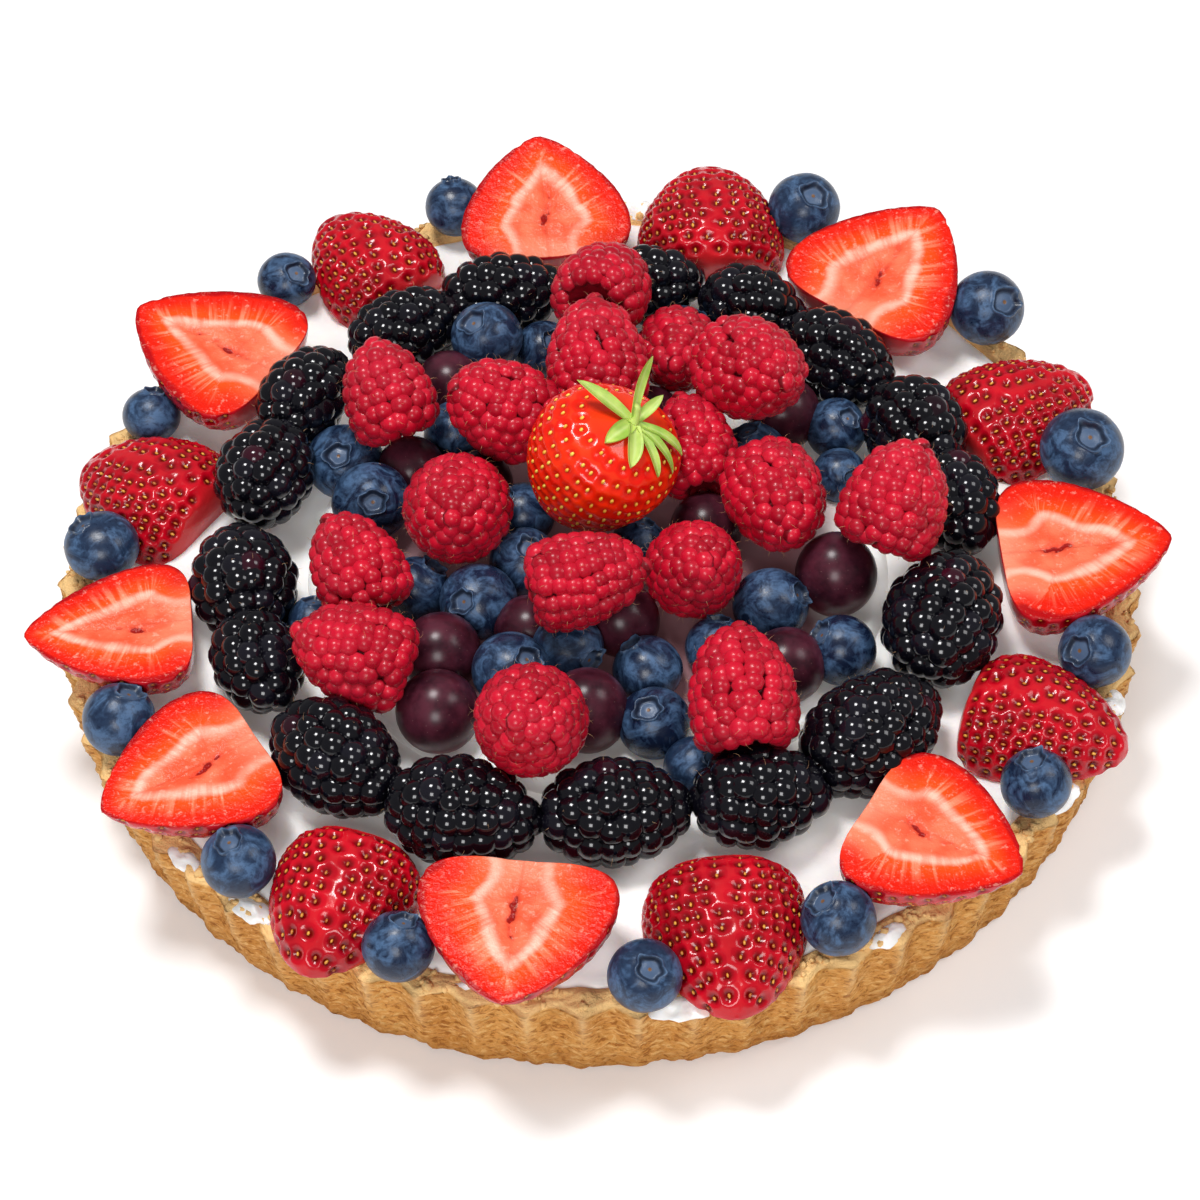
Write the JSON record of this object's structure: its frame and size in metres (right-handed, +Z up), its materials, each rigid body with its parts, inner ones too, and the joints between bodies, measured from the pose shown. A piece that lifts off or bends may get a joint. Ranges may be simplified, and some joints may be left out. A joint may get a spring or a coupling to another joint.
{
  "type": "berry tart",
  "caption": "Round fluted shortcrust tart filled with white cream and covered with halved strawberries, blueberries, brambles, raspberries, dark grapes and one whole strawberry.",
  "frame": {"origin": "centre of the crust's flat underside", "axes": "+Z up through the tart, -Y towards the front of the picture, +X to its right"},
  "size_m": [0.2469, 0.2453, 0.0742],
  "materials": {
    "pastry": "matte, crumbly, golden brown shortcrust",
    "cream": "soft satin white cream",
    "strawberry": "glossy red skin, moist red and white flesh",
    "blueberry": "satin dark blue with a pale bloom",
    "bramble": "glossy black drupelets",
    "raspberry": "satin pinkish red drupelets",
    "leaf": "satin light green"
  },
  "bodies": {
    "root": {"crust": "pastry", "cream": "cream", "berry_heap": "blueberry", "bramble_01": "bramble", "bramble_02": "bramble", "bramble_03": "bramble", "bramble_04": "bramble", "bramble_05": "bramble", "bramble_06": "bramble", "bramble_07": "bramble", "bramble_08": "bramble", "bramble_09": "bramble", "bramble_10": "bramble", "strawberry_half_01": "strawberry", "strawberry_half_02": "strawberry", "strawberry_half_03": "strawberry", "strawberry_half_04": "strawberry", "strawberry_half_05": "strawberry", "strawberry_half_06": "strawberry", "strawberry_half_07": "strawberry", "strawberry_half_08": "strawberry", "strawberry_half_09": "strawberry", "strawberry_half_10": "strawberry", "strawberry_half_11": "strawberry", "strawberry_half_12": "strawberry", "strawberry_half_13": "strawberry", "strawberry_half_14": "strawberry", "strawberry_half_15": "strawberry", "blueberry_01": "blueberry", "blueberry_02": "blueberry", "blueberry_03": "blueberry", "blueberry_04": "blueberry", "blueberry_05": "blueberry", "blueberry_06": "blueberry", "blueberry_07": "blueberry", "blueberry_08": "blueberry", "blueberry_09": "blueberry", "blueberry_10": "blueberry", "blueberry_11": "blueberry", "blueberry_12": "blueberry", "blueberry_13": "blueberry", "blueberry_14": "blueberry", "raspberry_01": "raspberry", "raspberry_02": "raspberry", "raspberry_03": "raspberry", "raspberry_04": "raspberry", "raspberry_05": "raspberry", "raspberry_06": "raspberry", "raspberry_07": "raspberry", "raspberry_08": "raspberry", "raspberry_09": "raspberry", "raspberry_10": "raspberry", "raspberry_11": "raspberry", "raspberry_12": "raspberry", "raspberry_13": "raspberry", "raspberry_14": "raspberry", "raspberry_15": "raspberry", "raspberry_16": "raspberry", "strawberry_whole": "strawberry", "strawberry_calyx": "leaf"}
  },
  "joints": []
}
